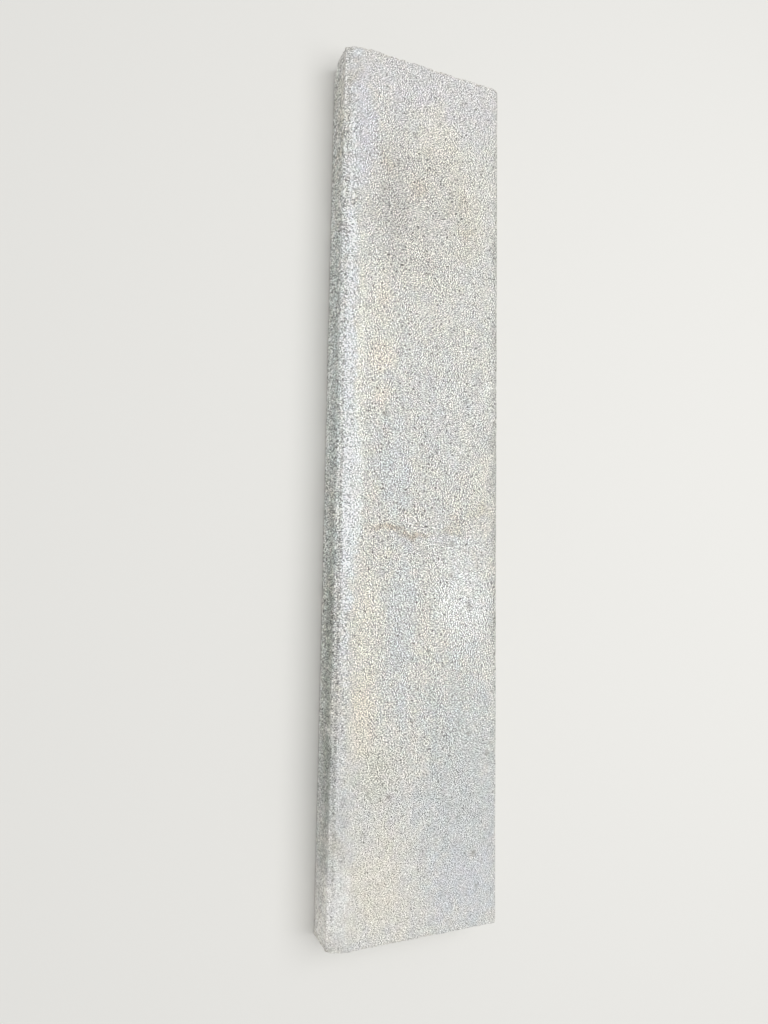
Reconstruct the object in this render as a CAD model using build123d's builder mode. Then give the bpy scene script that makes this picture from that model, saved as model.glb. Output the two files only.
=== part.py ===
from build123d import *

import os

# Concrete kerb stone, cast as one piece and lying on its broad back.
# Millimetres. X runs along the kerb, Y runs across it from the bevelled road edge to
# the bed edge, and Z is up through its thickness. The origin is the middle of the back.

# Overall size of the stone
length = 1000.0
height = 200.0
thickness = 50.0

# Road edge: a gentle bevel off the broad face, then a steeper worn nose above the side
bevel_width = 12.0
bevel_drop = 5.5
nose_width = 5.0
nose_drop = 3.5

# Rounding of each turn of the section
turn_radius = 12.0
shoulder_radius = 8.0
nose_radius = 2.0
arris_radius = 1.5

# Rounding of the arrises around each square butt end
end_radius = 1.0

# Corners of the section, in Y and Z, going round from the foot of the road side
road_side = -height / 2
bed_side = height / 2
nose_top = thickness - bevel_drop

section_corners = [
    (road_side, 0),
    (road_side, nose_top - nose_drop),
    (road_side + nose_width, nose_top),
    (road_side + nose_width + bevel_width, thickness),
    (bed_side, thickness),
    (bed_side, 0),
]
corner_radii = [
    arris_radius,
    nose_radius,
    shoulder_radius,
    turn_radius,
    arris_radius,
    arris_radius,
]

with BuildPart() as kerb_stone:
    with BuildSketch(Plane.YZ):
        with BuildLine():
            FilletPolyline(*section_corners, radius=corner_radii, close=True)
        make_face()
    extrude(amount=length / 2, both=True)
    butt_ends = kerb_stone.faces().filter_by(Plane.YZ)
    fillet(butt_ends.edges(), radius=end_radius)

kerb_stone.part.label = "kerb_stone"
os.makedirs("parts", exist_ok=True)
export_step(kerb_stone.part, "parts/kerb_stone.step")
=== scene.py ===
import math
from functools import partial

import bpy
import numpy as np
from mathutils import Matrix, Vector


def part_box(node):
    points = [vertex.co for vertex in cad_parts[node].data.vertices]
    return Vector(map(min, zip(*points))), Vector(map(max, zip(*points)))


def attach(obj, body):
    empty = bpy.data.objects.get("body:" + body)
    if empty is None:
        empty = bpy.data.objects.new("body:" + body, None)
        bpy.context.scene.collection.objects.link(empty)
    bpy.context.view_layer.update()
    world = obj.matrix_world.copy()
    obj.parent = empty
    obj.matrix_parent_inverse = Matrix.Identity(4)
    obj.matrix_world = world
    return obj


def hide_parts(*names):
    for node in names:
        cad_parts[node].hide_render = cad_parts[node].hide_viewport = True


# The looks of one concrete kerb stone that lies on its broad back.
# Metres, in the frame's own axes: X along the stone, Y from the bevelled road edge to the
# bed edge, Z up out of the face that is seen in use.

MM = 0.001
MATH, VECTOR = "ShaderNodeMath", "ShaderNodeVectorMath"
NOISE, VORONOI = "ShaderNodeTexNoise", "ShaderNodeTexVoronoi"
MAP, MIX = "ShaderNodeMapRange", "ShaderNodeMix"
SPLIT, JOIN = "ShaderNodeSeparateXYZ", "ShaderNodeCombineXYZ"
SMOOTH = {"interpolation_type": "SMOOTHSTEP"}
BLEND = {"data_type": "RGBA"}
TINT = {"data_type": "RGBA", "blend_type": "MULTIPLY"}
NOISE_ROUGHNESS = 0.6
NOISE_MIDDLE = 0.5

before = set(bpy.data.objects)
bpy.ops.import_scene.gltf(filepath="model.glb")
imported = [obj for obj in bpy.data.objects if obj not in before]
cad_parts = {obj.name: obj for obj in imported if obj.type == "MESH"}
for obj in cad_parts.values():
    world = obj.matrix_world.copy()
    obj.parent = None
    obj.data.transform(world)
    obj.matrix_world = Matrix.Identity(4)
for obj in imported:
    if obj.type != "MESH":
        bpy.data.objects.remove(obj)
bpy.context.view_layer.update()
stone_low, stone_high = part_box("kerb_stone")

# Section of the stone
ROAD_SIDE = stone_low.y
BED_SIDE = stone_high.y
TOP = stone_high.z
HALF_LENGTH = stone_high.x
BEVEL_WIDTH = 12 * MM
BEVEL_DROP = 5.5 * MM
NOSE_WIDTH = 5 * MM
NOSE_DROP = 3.5 * MM
SHOULDER = Vector((ROAD_SIDE + NOSE_WIDTH, TOP - BEVEL_DROP))
NOSE_HEIGHT = SHOULDER.y - NOSE_DROP
ARRIS_RADIUS = 1.5 * MM
END_RADIUS = 1 * MM

# Each corner of the section as (y, z, rounding radius), round from the foot over the top
FOOT, NOSE, SHOULDER_TURN, FACE_TURN, BACK_TOP, BACK_FOOT = range(6)
SECTION = [
    (ROAD_SIDE, 0.0, ARRIS_RADIUS),
    (ROAD_SIDE, NOSE_HEIGHT, 2 * MM),
    (SHOULDER.x, SHOULDER.y, 8 * MM),
    (SHOULDER.x + BEVEL_WIDTH, TOP, 12 * MM),
    (BED_SIDE, TOP, ARRIS_RADIUS),
    (BED_SIDE, 0.0, ARRIS_RADIUS),
]

# Spacing of the mesh over each stretch of the skin
ARC_STEPS = 4
END_ARC_DEGREES = (30, 60, 90)
FACE_STEP = 2.1 * MM
LENGTH_STEP = 2.15 * MM
SIDE_COUNT = 22
BACK_COUNT = 30
CROWDED_ROWS = 2

# Sizes of the relief that casting, handling and weather left, each cut inwards
RELIEF = {
    "Core Inset": 15 * MM,
    "Swell Size": 85 * MM,
    "Swell Depth": 0.35 * MM,
    "Grain Size": 5 * MM,
    "Grain Depth": 0.22 * MM,
    "Drag Size": 4.5 * MM,
    "Drag Depth": 0.12 * MM,
    "Pit Spacing": 12 * MM,
    "Pit Depth": 0.8 * MM,
    "Shoulder Pit Size": 5 * MM,
    "Shoulder Pit Depth": 0.5 * MM,
    "Rub Size": 24 * MM,
    "Crumble Size": 5 * MM,
    "Bite Size": 6 * MM,
    "Wear Reach": 5 * MM,
    "Wear Depth": 1.0 * MM,
    "Chip Floor Size": 5.5 * MM,
    "Seed": 4.0,
}

# Noises of the relief: detail, and where a part of the noise's range is picked out, that
# part and what it becomes, as (from, to, low, high)
RELIEF_NOISES = {
    "Swell": (2.0, None),
    "Grain": (1.0, None),
    "Drag": (1.0, None),
    "Shoulder Pit": (1.0, (0.46, 0.66, 0.0, 1.0)),
    "Rub": (3.0, (0.35, 0.75, 0.12, 1.0)),
    "Crumble": (1.0, (0.3, 0.7, 0.4, 1.0)),
    "Bite": (2.0, (0.48, 0.64, 0.0, 2.0)),
}
DRAG_STRETCH = (1, 0.07, 0.07)

# The butt ends and the struck back, told by how far their faces turn that way, and the grain
# that they have on top of the face's, as a share of it
END_FACES = (0.5, 0.9)
BACK_FACES = (-0.5, -0.9)
ROUGHER = 1.6

# Air pits: the share of the cells without one, the largest radius and the width of the wall,
# both as shares of the spacing, and the share of the cells with one that roughness adds
PITLESS = 0.6
PIT_RADIUS = 0.42
PIT_WALL = 0.16
MORE_PITS = 0.22

# Where wear is stronger or weaker, as (from, to, low, high)
SHOULDER_LINE = (0.4 * MM, 2.0 * MM, 1.0, 0.0)
BITES_BY_THE_END = (6 * MM, 2 * MM, 0.0, 1.0)
BITES_NEAR_THE_TOP = (0.5 * TOP, 0.8 * TOP, 0.0, 1.0)
BITES_ALONG_THE_STONE = (0.0, 200 * MM, 1.0, 0.3)
WEAR_NEAR_THE_FOOT = (3 * MM, 12 * MM, 0.4, 1.0)

# The nose wears less than an arris: its distance starts at this much and grows this much faster
NOSE_SPARED = 2.6 * MM
NOSE_SLOPE = 2.0

# Chips knocked off the arrises, as (x, y, z of the centre, radius, share of it cut away) in mm
CHIPS = {
    "bed corner by the far end": (-503, 101, 52, 9, 0.7),
    "far end, third of the way": (-501, -22, 51, 6, 0.6),
    "far end, near the bed edge": (-501, 58, 51.5, 5, 0.5),
    "far end, small nick": (-500.5, -8, 50.5, 3.5, 0.6),
    "far end, small nick by the middle": (-500.5, 31, 50.5, 3, 0.6),
    "nose corner by the far end": (-501.5, -98, 46, 7, 0.5),
    "nose corner by the near end": (501.5, -100, 42, 5, 0.5),
    "near end, beside the nose": (501, -80, 51, 4.5, 0.5),
    "near end, by the bed edge": (501, 84, 51, 4.5, 0.5),
    "bed edge, far half": (-118, 101, 50.5, 5, 0.5),
    "bed edge, near half": (247, 101, 50.5, 4, 0.5),
    "foot of the road side": (130, -101, -1, 8, 0.6),
    "foot corner by the far end": (-502, -102, -2, 14, 0.6),
    "foot of the bed edge": (-260, 101, -1, 9, 0.6),
    "foot corner of the bed edge": (503, 102, -2, 16, 0.6),
    "foot of the near end": (502, 22, -1, 10, 0.6),
}
CHIP_RAGGEDNESS = 7 * MM
BROKEN_BELOW = 1.6 * MM
BROKEN_FADE = 0.8 * MM

# Noises of the paste and its stains: width in mm, and detail
PASTE_NOISES = {
    "drift": (95, 3.0),
    "mottle": (16, 3.0),
    "sway": (38, 2.0),
    "flutter": (9, 2.0),
    "break up": (26, 4.0),
    "cloud": (13, 2.0),
    "shade": (8, 3.0),
}
DRIFT_RANGE, DRIFT_COLOURS = (0.3, 0.7), ("cecfcf", "d6d3c9")
MOTTLE_RANGE, MOTTLE_COLOURS = (0.25, 0.75), ("cacbcb", "dad9d1")
MOTTLE_SHARE = 0.5
CLOUD_TINT = (0.1, 0.07, 0.11)
SHADE_RANGE = (0.0, 1.0, 0.83, 1.17)

# How far the patches' outlines wander along and across the stone, in mm. They run straighter
# by the road edge, where the bevel guides the water.
WANDERING = {"sway": (60, 16.0), "flutter": (14, 8.0)}
STRAIGHTER = (-92, -74, 0.25, 1.0)
PATCH_OUTLINE = (2.35, 1.3)
OUTLINE_BREAK_UP = 2.0

# Soft patches of bloom and stain, of painted light on the nose, the bevel and the foot of the
# road side, of painted shade along the shoulder, and of plainly lighter or darker tone: centre
# (x, y, z) and half sizes in mm, colour, strength
PATCHES = {
    "even pale far end": ((-470, 0, 50), (50, 140, 25), "d4d2d3", 0.7),
    "cream by the far end": ((-405, 12, 50), (50, 34, 25), "dcd8ce", 0.8),
    "warm speckle by the bed edge": ((-330, 58, 50), (60, 30, 25), "d6d2c5", 0.6),
    "dull band along the bed edge": ((-40, 101, 50), (620, 9.5, 25), "b6b6b1", 0.9),
    "mauve brown field": ((-325, -14, 50), (95, 66, 25), "cbc8c2", 0.7),
    "mauve brown heart": ((-305, -40, 50), (60, 22, 25), "bebcb8", 0.6),
    "rusty freckle by the bed edge": ((-343, 52, 50), (11, 9, 25), "c9c2b4", 0.4),
    "second rusty freckle": ((-301, 58, 50), (10, 12, 25), "c0b6a6", 0.42),
    "rusty freckle in the field": ((-349, -6, 50), (14, 9, 25), "c2bbaf", 0.55),
    "rusty freckle by the bevel": ((-369, -51, 50), (14, 9, 25), "c1b9ad", 0.55),
    "peach run behind the bevel": ((-155, -55, 50), (98, 22, 25), "deddd3", 0.5),
    "peach spot by the mauve field": ((-205, -52, 50), (28, 14, 25), "ddd5ca", 0.5),
    "peach spot behind the bevel": ((-140, -52, 50), (24, 18, 25), "e2dacf", 0.65),
    "peach spot by the streak": ((-92, -52, 50), (16, 14, 25), "e3dbd1", 0.65),
    "pale yellow streak": ((-115, -77, 50), (150, 9, 25), "e4e3da", 0.9),
    "white streak behind the bevel": ((10, -82, 50), (110, 10, 25), "e3e5e4", 0.9),
    "brown smear across": ((58, -25, 50), (8, 34, 25), "b5a998", 0.8),
    "olive mark by the bed edge": ((32, 78, 50), (7, 16, 25), "bcb8aa", 0.5),
    "olive mark on the middle": ((50, 40, 50), (7, 16, 25), "bdb6a5", 0.5),
    "white bloom": ((140, 50, 50), (70, 36, 25), "dfe0de", 0.8),
    "blue grey field": ((-10, -35, 50), (46, 26, 25), "cbcfd1", 0.55),
    "blue grey run": ((160, -22, 50), (110, 20, 25), "c8ccce", 0.55),
    "cream behind the bevel": ((170, -66, 50), (72, 18, 25), "dcd9ce", 0.65),
    "orange cream spot": ((262, -67, 50), (50, 16, 25), "dfd8ca", 0.7),
    "olive grey field": ((330, -52, 50), (50, 22, 25), "cfcec2", 0.6),
    "orange cream at the near end": ((440, -45, 50), (60, 48, 25), "ded9cc", 0.7),
    "blue grey near end": ((340, 55, 50), (150, 58, 25), "c4c8c8", 0.7),
    "lilac near end": ((452, 60, 50), (42, 46, 25), "cbcdd0", 0.7),
    "lilac at the far end": ((-400, -80, 50), (80, 18, 25), "d4d4da", 0.7),
    # painted light: the bevel tilts away from the lamp and is painted lighter along its length,
    # most at the near end, over a real bluish lime bloom
    "lime bloom and painted light on the bevel": ((-80, -90, 47), (400, 9, 12), "e6e8e9", 0.95),
    "clean bevel with painted light at the near end": ((445, -90, 47), (60, 12, 12), "e9e9e5", 0.85),
    # painted light: the nose tilts away from the lamp and is painted lighter to make up for it
    "nose painted lighter along its length": ((-95, -99, 42), (440, 5, 8), "e0e1df", 0.8),
    # darker along this stretch of the road side
    "darker stretch of the road side": ((208, -103, 26), (235, 7, 30), "a2a69f", 0.92),
    # painted shade: the line along the shoulder is painted darker for the shade in its open pits
    "painted shade along the shoulder line": ((170, -95, 44.5), (290, 2.5, 3), "b4b5b1", 0.6),
    # painted light: the nose painted lighter still at both ends
    "nose painted lighter at the far end": ((-450, -98, 43), (50, 6, 7), "e3e3e0", 0.7),
    "nose painted lighter at the near end": ((455, -98, 43), (50, 6, 7), "e3e3df", 0.65),
    "cool road side": ((-120, -103, 25), (250, 7, 32), "c3cac9", 0.75),
    # painted light: the foot of the road side is painted lighter to cancel the shade where it
    # meets the floor
    "painted light at the foot of the road side": ((-100, -103, 2), (900, 8, 20), "e2e4e0", 0.72),
    # lighter over the whole height of the road side at the near end
    "lighter road side at the near end": ((466, -103, 18), (48, 8, 60), "f1efe9", 0.95),
}

# Sand, in mm and strength. Real sand is finer than the photograph's pixels, which are about
# a millimetre wide, so it is drawn as coarse as they can show.
GRAIN_WIDTH, GRAIN_STRENGTH = 1.0, 0.3
SPECK_WIDTH, SPECK_STRENGTH = 1.12, 5.4
GAP_WIDTH, GAP_STRENGTH, GAP_SCATTER = 1.6, 1.7, 0.9
SAND_LEVEL = 1.01
SAND_LIMITS = (0.08, 2.0)

# How close the sand's patterns are drawn along the stone, across it and in height: on the
# face, on the road side and on the parts that the photograph doesn't show
SAND_STRETCH = (1.3, 0.85, 0.34)
ROAD_SAND_STRETCH = (1.2, 0.85, 0.42)
UNSEEN_SAND_STRETCH = (0.8, 0.8, 0.8)
ROAD_FACES = (-0.8, -0.95)
UNSEEN_FACES = (0.55, 0.8)

# How strongly the sand shows along and across the stone: axis, from, to in mm, low, high
SAND_SHARES = {
    "towards the near end": ("X", 110, 460, 1.0, 0.4),
    "by the far end": ("X", -490, -390, 0.68, 1.0),
    "on the bevel": ("Y", -88, -56, 0.52, 1.0),
    "by the bed edge": ("Y", 58, 88, 1.12, 0.9),
    "on the nose": ("Y", -96, -92, 1.3, 1.0),
}
UNSEEN_SHARE = 0.42
ROAD_SHARE = 0.86

# Open pores, painted dark as the shade inside them: spacing in mm, then the range of chance that
# gives them a size, and the largest radius and the width of the rim as shares of the spacing
PORE_SPACING = 4.5
PORE_CHANCE = (0.45, 0.85)
PORE_RADIUS = 0.26
PORE_RIM = 0.05
PORE_STRENGTH = 0.9
PORE_SHADE_COLOUR = "3c3a36"

# Hollows are painted darker as painted shade, and rubbed or broken arrises show the sand
WEAR_AND_HOLLOW_SHADE_COLOURS = {"pitted": "8d8a83", "worn": "c6bfae", "broken": "b3ab9b"}
WEAR_AND_HOLLOW_SHADE_STRENGTH = 0.5

# Gloss and bump of the dry cement skin
CONCRETE_IOR = 1.5
ROUGHNESS_RANGE = (0.0, 1.0, 0.97, 0.83)
BUMP_STRENGTH = 0.3
BUMP_DEPTH = 0.3 * MM

# The plain place that it lies in, lit like an overcast day
FLOOR_REACH = 12.0
FLOOR_COLOUR = "ebeae6"
FLOOR_ROUGHNESS = 0.9
SKY_STRENGTH = 0.465
LAMP_SIZE = 3.0
LAMP_WATTS = 56
LAMP_PLACE = (-0.1, 0.8, 2.6)

# The photograph's camera
PHOTO_LONG_SIDE = 1024
FOCAL_PIXELS = 703
SENSOR = 36.0
CLIP_START = 0.01
CAMERA_PLACE = Vector((106.4, -344.1, 767.2)) * MM
CAMERA_TURN = (4.54, -22.67, 91.02)


def linear(hex_colour):
    """An sRGB hex colour as the linear colour that a socket takes."""
    channels = [int(hex_colour[i : i + 2], 16) / 255 for i in (0, 2, 4)]
    channels = [c / 12.92 if c <= 0.04045 else ((c + 0.055) / 1.055) ** 2.4 for c in channels]
    return (*channels, 1.0)


def add(tree, kind, inputs=(), out=None, **settings):
    """Adds a node and returns its output called out, or its first one.

    The inputs are listed in order or named. Each is a value or a socket to link from.
    """
    made = tree.nodes.new(kind)
    for name, value in settings.items():
        setattr(made, name, value)
    free = [s for s in made.inputs if not s.is_unavailable]
    pairs = inputs.items() if isinstance(inputs, dict) else enumerate(inputs)
    for key, value in pairs:
        target = free[key] if isinstance(key, int) else next(s for s in free if s.name == key)
        if isinstance(value, bpy.types.NodeSocket):
            tree.links.new(value, target)
        else:
            target.default_value = value
    results = [s for s in made.outputs if not s.is_unavailable and out in (None, s.name)]
    return results[0] if results else None


def corner_arc(index):
    """Points of the tangent arc that rounds one corner of the section."""
    before, corner, after = [
        Vector(SECTION[(index + step) % len(SECTION)][:2]) for step in (-1, 0, 1)
    ]
    radius = SECTION[index][2]
    to_before, to_after = (before - corner).normalized(), (after - corner).normalized()
    half_angle = to_before.angle(to_after) / 2
    centre = corner + (to_before + to_after).normalized() * radius / math.sin(half_angle)
    setback = radius / math.tan(half_angle)
    start = (corner + to_before * setback - centre).normalized()
    end = (corner + to_after * setback - centre).normalized()
    return [centre + radius * start.slerp(end, step / ARC_STEPS) for step in range(ARC_STEPS + 1)]


def run(corners, count=None):
    """Section points from the middle of the first corner's arc to the middle of the last's."""
    middle = ARC_STEPS // 2
    points = corner_arc(corners[0])[middle:]
    for corner in corners[1:]:
        arc = corner_arc(corner)
        steps = count or math.ceil((arc[0] - points[-1]).length / FACE_STEP)
        points += [points[-1].lerp(arc[0], step / steps) for step in range(1, steps)]
        points += arc[: middle + 1] if corner == corners[-1] else arc
    return np.array([tuple(point) for point in points])


def zipped(upper, lower):
    """Triangles between two rows of vertices that have different counts."""
    faces, i, j = [], 0, 0
    last_i, last_j = len(upper) - 1, len(lower) - 1
    while i < last_i or j < last_j:
        if i < last_i and (i + 1) * last_j <= (j + 1) * last_i:
            faces.append((upper[i], upper[i + 1], lower[j]))
            i += 1
        else:
            faces.append((upper[i], lower[j + 1], lower[j]))
            j += 1
    return faces


def butt_end(names, places, counts, first):
    """The cap of one end: a grid that blends the four runs of its ring.

    Takes the names and places of the ring's vertices, the points in each run and the first
    free name. Returns the cap's inner points and its faces.
    """
    corners = np.cumsum([0, *[count - 1 for count in counts]])
    turned = np.r_[names, names[0]]
    over, down, under, up = [turned[a : b + 1] for a, b in zip(corners, corners[1:])]
    under, up = under[::-1], up[::-1]
    rim = dict(zip(names, places))
    edges = [np.array([rim[name] for name in edge]) for edge in (over, down, up, under)]
    edge_over, edge_down, edge_up, edge_under = edges
    columns, rows = len(over), len(down)
    spread = np.linspace(0, len(under) - 1, columns)
    edge_under = np.column_stack(
        [np.interp(spread, range(len(under)), edge_under[:, axis]) for axis in range(3)]
    )
    u = np.linspace(0, 1, columns)[:, None, None]
    v = np.linspace(0, 1, rows)[None, :, None]
    grid = (
        (1 - v) * edge_over[:, None] + v * edge_under[:, None]
        + (1 - u) * edge_up[None] + u * edge_down[None]
        - (1 - u) * (1 - v) * edge_over[0] - u * (1 - v) * edge_over[-1]
        - (1 - u) * v * edge_under[0] - u * v * edge_under[-1]
    )

    # Its lowest rows would crowd the foot's rounding, so triangles fill their place
    kept = rows - 1 - CROWDED_ROWS
    inside = grid[1:-1, 1:kept].reshape(-1, 3)
    cells = np.empty((columns, kept), int)
    cells[:, 0], cells[0], cells[-1] = over, up[:kept], down[:kept]
    cells[1:-1, 1:] = first + np.arange(len(inside)).reshape(columns - 2, kept - 1)
    faces = np.stack([cells[:-1, :-1], cells[1:, :-1], cells[1:, 1:], cells[:-1, 1:]], -1)
    below = np.r_[up[kept:-1], under, down[kept:-1][::-1]]
    return inside, faces.reshape(-1, 4).tolist() + zipped(cells[:, -1], below)


def mould_skin():
    """The stone as it left the mould: one closed mesh, fine on top, coarser on its back."""
    top = run([NOSE, SHOULDER_TURN, FACE_TURN, BACK_TOP])
    bed = run([BACK_TOP, BACK_FOOT], SIDE_COUNT)
    back = run([BACK_FOOT, FOOT], BACK_COUNT)
    road = run([FOOT, NOSE], SIDE_COUNT)
    runs = (top, bed, back, road)
    loop = np.vstack([part[:-1] for part in runs])
    around = len(loop)
    tangent = np.roll(loop, -1, 0) - np.roll(loop, 1, 0)
    outward = np.column_stack([-tangent[:, 1], tangent[:, 0]])
    outward /= np.linalg.norm(outward, axis=1)[:, None]

    # Rings along X, with a quarter round at each butt end
    body = HALF_LENGTH - END_RADIUS
    stations = [(x, 0.0) for x in np.linspace(-body, body, math.ceil(2 * body / LENGTH_STEP) + 1)]
    rounding = [
        (body + END_RADIUS * math.sin(turn), END_RADIUS * (1 - math.cos(turn)))
        for turn in np.radians(END_ARC_DEGREES)
    ]
    rings = [(-x, inset) for x, inset in rounding[::-1]] + stations + rounding
    points = [np.column_stack([np.full(around, x), loop - outward * inset]) for x, inset in rings]
    names = np.arange(len(rings) * around).reshape(len(rings), around)
    beside = np.roll(names, -1, 1)
    faces = np.stack([names[:-1], names[1:], beside[1:], beside[:-1]], -1).reshape(-1, 4).tolist()

    # The two butt ends, the second of which faces the other way
    total = names.size
    counts = [len(part) for part in runs]
    for ring in (0, len(rings) - 1):
        inside, cap = butt_end(names[ring], points[ring], counts, total)
        total += len(inside)
        points.append(inside)
        faces += [face[::-1] for face in cap] if ring else cap

    mesh = bpy.data.meshes.new("kerb_skin")
    mesh.from_pydata(np.vstack(points).tolist(), [], [[int(name) for name in f] for f in faces])
    mesh.shade_smooth()
    skin = bpy.data.objects.new("kerb_skin", mesh)
    bpy.context.scene.collection.objects.link(skin)
    return skin


def worn_casting():
    """The node tree that gives the mould's smooth skin its relief.

    Every point moves towards the stone's core, so the skin stays closed and inside its box.
    """
    tree = bpy.data.node_groups.new("worn_casting", "GeometryNodeTree")
    tree.is_modifier = True
    tree.interface.new_socket("Skin", in_out="OUTPUT", socket_type="NodeSocketGeometry")
    tree.interface.new_socket("Skin", in_out="INPUT", socket_type="NodeSocketGeometry")
    for name in ("Box Low", "Box High"):
        tree.interface.new_socket(name, in_out="INPUT", socket_type="NodeSocketVector")
    for name in RELIEF:
        tree.interface.new_socket(name, in_out="INPUT", socket_type="NodeSocketFloat")
    tree.interface.new_socket("Concrete", in_out="INPUT", socket_type="NodeSocketMaterial")
    given = tree.nodes.new("NodeGroupInput").outputs
    node = partial(add, tree)
    seed = given["Seed"]

    place = node("GeometryNodeInputPosition")
    spot = node(SPLIT, [place]).node.outputs
    facing = node(SPLIT, [node("GeometryNodeInputNormal")]).node.outputs
    low, high = given["Box Low"], given["Box High"]

    # The way in from each point to the core, which is the box drawn in from every side
    inset = given["Core Inset"]
    core_low = node(VECTOR, [low, inset], operation="ADD")
    core_high = node(VECTOR, [high, inset], operation="SUBTRACT")
    core = node(VECTOR, [place, core_low], operation="MAXIMUM")
    core = node(VECTOR, [core, core_high], operation="MINIMUM")
    inwards = node(VECTOR, [core, place], operation="SUBTRACT")
    inwards = node(VECTOR, [inwards], operation="NORMALIZE")

    # Distances from the lines of the nose and of the shoulder, which run along the stone
    line_gaps = {}
    for name, y, z in (("nose", ROAD_SIDE, NOSE_HEIGHT), ("shoulder", SHOULDER.x, SHOULDER.y)):
        away = node(VECTOR, [place, (0, y, z)], operation="SUBTRACT")
        away = node(VECTOR, [away, (0, 1, 1)], operation="MULTIPLY")
        line_gaps[name] = node(VECTOR, [away], "Value", operation="LENGTH")

    # Distance from the nearest arris: the middle one of the distances from the three sides.
    # The nose is one more arris, a spared one.
    from_low = node(VECTOR, [place, low], operation="SUBTRACT")
    from_high = node(VECTOR, [high, place], operation="SUBTRACT")
    gap = node(VECTOR, [from_low, from_high], operation="MINIMUM")
    sides = node(SPLIT, [gap]).node.outputs
    turned = node(JOIN, [sides["Y"], sides["Z"], sides["X"]])
    pairs = node(SPLIT, [node(VECTOR, [gap, turned], operation="MAXIMUM")]).node.outputs
    edge = node(MATH, [pairs["X"], pairs["Y"]], operation="MINIMUM")
    edge = node(MATH, [edge, pairs["Z"]], operation="MINIMUM")
    nose = node(MATH, [line_gaps["nose"], NOSE_SLOPE, NOSE_SPARED], operation="MULTIPLY_ADD")
    edge = node(MATH, [edge, nose], operation="MINIMUM")
    arris = node(MAP, [edge, 0.0, given["Wear Reach"], 1.0, 0.0], **SMOOTH)

    # The noises. The drag's is drawn out into faint ridges across the stone, as the tamping
    # plate left them.
    ridges = node(VECTOR, [place, DRAG_STRETCH], operation="MULTIPLY")
    noises = {}
    for name, (detail, span) in RELIEF_NOISES.items():
        shape = {
            "Vector": ridges if name == "Drag" else place,
            "W": seed,
            "Scale": node(MATH, [1.0, given[f"{name} Size"]], operation="DIVIDE"),
            "Detail": detail,
            "Roughness": NOISE_ROUGHNESS,
        }
        noises[name] = node(NOISE, shape, noise_dimensions="4D")
        if span:
            noises[name] = node(MAP, [noises[name], *span])

    # The struck back and the two butt ends come out of the mould rougher than the face
    butt = node(MATH, [facing["X"]], operation="ABSOLUTE")
    butt = node(MAP, [butt, *END_FACES])
    struck = node(MAP, [facing["Z"], *BACK_FACES])
    rough = node(MATH, [butt, struck], operation="MAXIMUM")
    coarse = node(MATH, [rough, ROUGHER, 1.0], operation="MULTIPLY_ADD")
    grain = node(MATH, [noises["Grain"], coarse], operation="MULTIPLY")

    # Air pits: in some of the cells, a round hollow of its own size
    scale = node(MATH, [1.0, given["Pit Spacing"]], operation="DIVIDE")
    shape = {"Vector": place, "W": seed, "Scale": scale}
    cell = node(VORONOI, shape, voronoi_dimensions="4D").node.outputs
    chance = node(SPLIT, [cell["Color"]])
    chance = node(MATH, [rough, MORE_PITS, chance], operation="MULTIPLY_ADD")
    radius = node(MAP, [chance, PITLESS, 1.0, 0.0, PIT_RADIUS])
    depth = node(MATH, [radius, cell["Distance"]], operation="SUBTRACT")
    pit = node(MAP, [depth, 0.0, PIT_WALL], **SMOOTH)

    # The open line along the shoulder where the bevel meets the nose
    line = node(MAP, [line_gaps["shoulder"], *SHOULDER_LINE], **SMOOTH)
    open_line = node(MATH, [line, noises["Shoulder Pit"]], operation="MULTIPLY")

    # Arrises rubbed down unevenly, with crumbled spots. The two upper end arrises lost more,
    # in small bites, the far one above all.
    bites = noises["Bite"]
    for where, span in ((sides["X"], BITES_BY_THE_END), (spot["X"], BITES_ALONG_THE_STONE)):
        bites = node(MATH, [bites, node(MAP, [where, *span])], operation="MULTIPLY")
    near_top = node(MAP, [spot["Z"], *BITES_NEAR_THE_TOP])
    rub = node(MATH, [noises["Rub"], noises["Crumble"]], operation="MULTIPLY")
    rub = node(MATH, [bites, near_top, rub], operation="MULTIPLY_ADD")
    worn = node(MATH, [rub, arris], operation="MULTIPLY")

    # Less of it low down, where the mesh is too coarse to carry it
    foot_share = node(MAP, [spot["Z"], *WEAR_NEAR_THE_FOOT])
    worn = node(MATH, [worn, foot_share], operation="MULTIPLY")

    cut = node(MATH, [noises["Swell"], given["Swell Depth"]], operation="MULTIPLY")
    cuts = {
        "Grain Depth": grain,
        "Drag Depth": noises["Drag"],
        "Pit Depth": pit,
        "Shoulder Pit Depth": open_line,
        "Wear Depth": worn,
    }
    for name, share in cuts.items():
        cut = node(MATH, [share, given[name], cut], operation="MULTIPLY_ADD")

    # Chips: each is a ball's bite out of the arris, with a broken floor
    scale = node(MATH, [1.0, given["Chip Floor Size"]], operation="DIVIDE")
    ragged = node(NOISE, {"Vector": place, "Scale": scale}, "Color")
    ragged = node(VECTOR, [ragged, [NOISE_MIDDLE] * 3], operation="SUBTRACT")
    ragged = node(VECTOR, [ragged, [CHIP_RAGGEDNESS] * 3, place], operation="MULTIPLY_ADD")
    for x, y, z, radius, share in CHIPS.values():
        reach = node(VECTOR, [ragged, Vector((x, y, z)) * MM], "Value", operation="DISTANCE")
        bite = node(MATH, [radius * MM, reach], operation="SUBTRACT")
        bite = node(MATH, [bite, share], operation="MULTIPLY")
        cut = node(MATH, [cut, bite], operation="MAXIMUM")
    broken_face = node(MATH, [cut, BROKEN_BELOW], operation="SUBTRACT")
    broken_face = node(MAP, [broken_face, 0.0, BROKEN_FADE])

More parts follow.
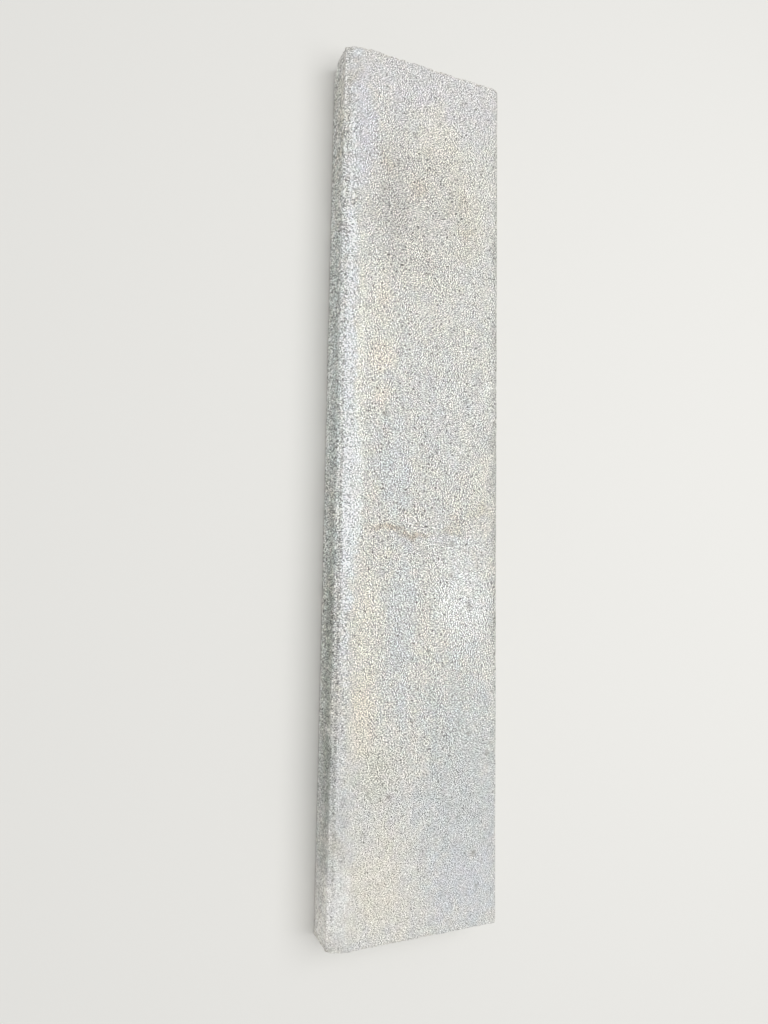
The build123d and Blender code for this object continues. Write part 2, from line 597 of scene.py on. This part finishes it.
    move = node(VECTOR, {"Vector": inwards, "Scale": cut}, operation="SCALE")
    skin = node("GeometryNodeSetPosition", {"Geometry": given["Skin"], "Offset": move})
    pitted = node(MATH, [pit, open_line], operation="MAXIMUM")
    for name, mark in {"pitted": pitted, "worn": worn, "broken": broken_face}.items():
        marked = {"Geometry": skin, "Name": name, "Value": mark}
        skin = node("GeometryNodeStoreNamedAttribute", marked)
    skin = node("GeometryNodeRealizeInstances", [skin])
    skin = node("GeometryNodeSetMaterial", {"Geometry": skin, "Material": given["Concrete"]})
    node("NodeGroupOutput", [skin])
    return tree


def weather(skin, concrete):
    """Runs the relief tree on the skin and leaves a plain mesh."""
    tree = worn_casting()
    wear = skin.modifiers.new("wear", "NODES")
    wear.node_group = tree
    values = {"Box Low": tuple(stone_low), "Box High": tuple(stone_high), "Concrete": concrete}
    values |= RELIEF
    for socket in tree.interface.items_tree:
        if socket.in_out == "INPUT" and socket.name in values:
            wear[socket.identifier] = values[socket.name]
    graph = bpy.context.evaluated_depsgraph_get()
    worn = bpy.data.meshes.new_from_object(
        skin.evaluated_get(graph), preserve_all_data_layers=True, depsgraph=graph
    )
    skin.modifiers.remove(wear)
    worn.name = "kerb_skin_worn"
    skin.data = worn


def pressed_concrete():
    """Earth-dry concrete, pressed in a steel mould and left outdoors.

    It gives the eye a matt sandy skin, pale grains, and dark pores about a millimetre across
    whose darkness is painted shade, lime bloom and faint rusty stains, painted light on the nose,
    the bevel and the foot of the road side, painted shade in the hollows, and a darker coarser
    look where it broke.
    """
    material = bpy.data.materials.new("dry_pressed_concrete")
    material.use_nodes = True
    tree = material.node_tree
    node = partial(add, tree)
    shader = tree.nodes["Principled BSDF"]
    shader.inputs["IOR"].default_value = CONCRETE_IOR
    coordinates = node("ShaderNodeTexCoord").node.outputs
    facing = node(SPLIT, [coordinates["Normal"]]).node.outputs

    # Patterns are drawn in millimetres
    place = node(VECTOR, {"Vector": coordinates["Object"], "Scale": 1 / MM}, operation="SCALE")
    spot = node(SPLIT, [place]).node.outputs
    noises = {}
    for name, (width, detail) in PASTE_NOISES.items():
        shape = {"Vector": place, "Scale": 1 / width, "Detail": detail}
        shape["Roughness"] = NOISE_ROUGHNESS
        noises[name] = node(NOISE, shape).node.outputs
    middle = [NOISE_MIDDLE] * 3

    # Cement paste: a neutral grey that drifts between cool and cream over a hand's breadth
    drift = node(MAP, [noises["drift"]["Fac"], *DRIFT_RANGE], **SMOOTH)
    tone = node(MIX, [drift, *map(linear, DRIFT_COLOURS)], **BLEND)
    mottle = node(MAP, [noises["mottle"]["Fac"], *MOTTLE_RANGE], **SMOOTH)
    mottled = node(MIX, [mottle, *map(linear, MOTTLE_COLOURS)], **BLEND)
    tone = node(MIX, [MOTTLE_SHARE, tone, mottled], **BLEND)

    # The soft patches, drawn with wandering outlines
    straighter = node(MAP, [spot["Y"], *STRAIGHTER], **SMOOTH)
    wander = place
    for name, (along, across) in WANDERING.items():
        shift = node(VECTOR, [noises[name]["Color"], middle], operation="SUBTRACT")
        across = node(MATH, [straighter, across], operation="MULTIPLY")
        reach = node(JOIN, [along, across, 0.0])
        wander = node(VECTOR, [shift, reach, wander], operation="MULTIPLY_ADD")
    break_up = noises["break up"]["Fac"]
    for centre, half_sizes, colour, strength in PATCHES.values():
        away = node(VECTOR, [wander, centre], operation="SUBTRACT")
        away = node(VECTOR, [away, [1 / size for size in half_sizes]], operation="MULTIPLY")
        away = node(VECTOR, [away], "Value", operation="LENGTH")
        away = node(MATH, [break_up, OUTLINE_BREAK_UP, away], operation="MULTIPLY_ADD")
        patch = node(MAP, [away, *PATCH_OUTLINE, 0.0, strength], **SMOOTH)
        tone = node(MIX, [patch, tone, linear(colour)], **BLEND)

    # Cloudy freckles a centimetre across, some warmer and some cooler than the paste
    cloud = node(VECTOR, [noises["cloud"]["Color"], middle], operation="SUBTRACT")
    cloud = node(VECTOR, [cloud, CLOUD_TINT, (1, 1, 1)], operation="MULTIPLY_ADD")
    tone = node(MIX, [1.0, tone, cloud], **TINT)
    shade = node(MAP, [noises["shade"]["Fac"], *SHADE_RANGE])
    tone = node(MIX, [1.0, tone, shade], **TINT)

    # The parts that the photograph doesn't show: the butt ends, the bed edge and the back
    endwise = node(MATH, [facing["X"]], operation="ABSOLUTE")
    unseen = node(MATH, [endwise, facing["Y"]], operation="MAXIMUM")
    downwards = node(MATH, [facing["Z"], -1.0], operation="MULTIPLY")
    unseen = node(MATH, [unseen, downwards], operation="MAXIMUM")
    unseen = node(MAP, [unseen, *UNSEEN_FACES], **SMOOTH)
    road_side = node(MAP, [facing["Y"], *ROAD_FACES], **SMOOTH)

    # How strongly the sand shows
    shares = [node(MAP, [spot[axis], *span], **SMOOTH) for axis, *span in SAND_SHARES.values()]
    for part, share in ((unseen, UNSEEN_SHARE), (road_side, ROAD_SHARE)):
        shares.append(node(MAP, [part, 0.0, 1.0, 1.0, share], **SMOOTH))
    shows = shares[0]
    for share in shares[1:]:
        shows = node(MATH, [shows, share], operation="MULTIPLY")

    # Sand: pale and dark grains, fine specks, and the gaps between them
    stretch = node(MIX, [road_side, SAND_STRETCH, ROAD_SAND_STRETCH], data_type="VECTOR")
    stretch = node(MIX, [unseen, stretch, UNSEEN_SAND_STRETCH], data_type="VECTOR")
    sandy = node(VECTOR, [place, stretch], operation="MULTIPLY")
    grains = node(VORONOI, {"Vector": sandy, "Scale": 1 / GRAIN_WIDTH}, "Color")
    grains = node(SPLIT, [grains])
    shape = {"Vector": sandy, "Scale": 1 / SPECK_WIDTH, "Detail": 0.0}
    specks = node(NOISE, shape)
    shape = {"Vector": sandy, "Scale": 1 / GAP_WIDTH, "Randomness": GAP_SCATTER}
    gaps = node(VORONOI, shape, "Distance")
    patterns = ((grains, GRAIN_STRENGTH), (specks, SPECK_STRENGTH), (gaps, GAP_STRENGTH))
    sand = 0.0
    for pattern, strength in patterns:
        pattern = node(MATH, [pattern, NOISE_MIDDLE], operation="SUBTRACT")
        sand = node(MATH, [pattern, strength, sand], operation="MULTIPLY_ADD")
    sand = node(MATH, [sand, shows, SAND_LEVEL], operation="MULTIPLY_ADD")
    sand = node("ShaderNodeClamp", [sand, *SAND_LIMITS])
    tone = node(MIX, [1.0, tone, sand], **TINT)

    # Open pores, painted dark as the shade inside them
    pores = node(VORONOI, {"Vector": place, "Scale": 1 / PORE_SPACING}).node.outputs
    chance = node(SPLIT, [pores["Color"]])
    size = node(MAP, [chance, *PORE_CHANCE, 0.0, PORE_RADIUS])
    pore = node(MATH, [size, pores["Distance"]], operation="SUBTRACT")
    pore = node(MAP, [pore, 0.0, PORE_RIM])
    pore = node(MATH, [pore, shows], operation="MULTIPLY")
    dark = node(MATH, [pore, PORE_STRENGTH], operation="MULTIPLY")
    tone = node(MIX, [dark, tone, linear(PORE_SHADE_COLOUR)], **BLEND)

    # The marks that the relief tree left: painted shade in the pits and the line along the
    # shoulder, rubbed arrises and broken faces
    for name, colour in WEAR_AND_HOLLOW_SHADE_COLOURS.items():
        mark = node("ShaderNodeAttribute", out="Fac", attribute_name=name)
        mark = node(MATH, [mark, WEAR_AND_HOLLOW_SHADE_STRENGTH], operation="MULTIPLY")
        tone = node(MIX, [mark, tone, linear(colour)], **BLEND)

    height = node(MATH, [sand, pore], operation="SUBTRACT")
    height = {"Strength": BUMP_STRENGTH, "Distance": BUMP_DEPTH, "Height": height}
    finish = {
        "Base Color": tone,
        "Roughness": node(MAP, [specks, *ROUGHNESS_RANGE]),
        "Normal": node("ShaderNodeBump", height),
    }
    for name, socket in finish.items():
        tree.links.new(socket, shader.inputs[name])
    return material


def studio_floor():
    """The plain pale floor that the stone lies on."""
    mesh = bpy.data.meshes.new("floor")
    signs = ((-1, -1), (1, -1), (1, 1), (-1, 1))
    corners = [(x * FLOOR_REACH, y * FLOOR_REACH, 0) for x, y in signs]
    mesh.from_pydata(corners, [], [(0, 1, 2, 3)])
    floor = bpy.data.objects.new("floor", mesh)
    bpy.context.scene.collection.objects.link(floor)
    paint = bpy.data.materials.new("matt_floor_paint")
    paint.use_nodes = True
    shader = paint.node_tree.nodes["Principled BSDF"]
    shader.inputs["Base Color"].default_value = linear(FLOOR_COLOUR)
    shader.inputs["Roughness"].default_value = FLOOR_ROUGHNESS
    mesh.materials.append(paint)


def soft_daylight():
    """Even light like an overcast sky, a little stronger from above."""
    world = bpy.data.worlds.new("sky")
    bpy.context.scene.world = world
    world.use_nodes = True
    sky = world.node_tree.nodes["Background"]
    sky.inputs["Color"].default_value = (1, 1, 1, 1)
    sky.inputs["Strength"].default_value = SKY_STRENGTH
    lamp = bpy.data.lights.new("overhead", "AREA")
    lamp.shape = "SQUARE"
    lamp.size = LAMP_SIZE
    lamp.energy = LAMP_WATTS
    panel = bpy.data.objects.new("overhead", lamp)
    panel.location = LAMP_PLACE
    panel.rotation_euler = panel.location.to_track_quat("Z", "Y").to_euler()
    bpy.context.scene.collection.objects.link(panel)


def photo_camera():
    """The camera at the photograph's place, with the stone's length up the picture."""
    lens = bpy.data.cameras.new("camera")
    lens.sensor_width = SENSOR
    lens.lens = FOCAL_PIXELS / PHOTO_LONG_SIDE * SENSOR
    lens.clip_start = CLIP_START
    camera = bpy.data.objects.new("camera", lens)
    camera.location = CAMERA_PLACE
    camera.rotation_euler = [math.radians(angle) for angle in CAMERA_TURN]
    bpy.context.scene.collection.objects.link(camera)
    bpy.context.scene.camera = camera


kerb = mould_skin()
weather(kerb, pressed_concrete())
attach(kerb, "root")
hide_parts("kerb_stone")

studio_floor()
soft_daylight()
photo_camera()
bpy.context.scene.view_settings.view_transform = "Standard"
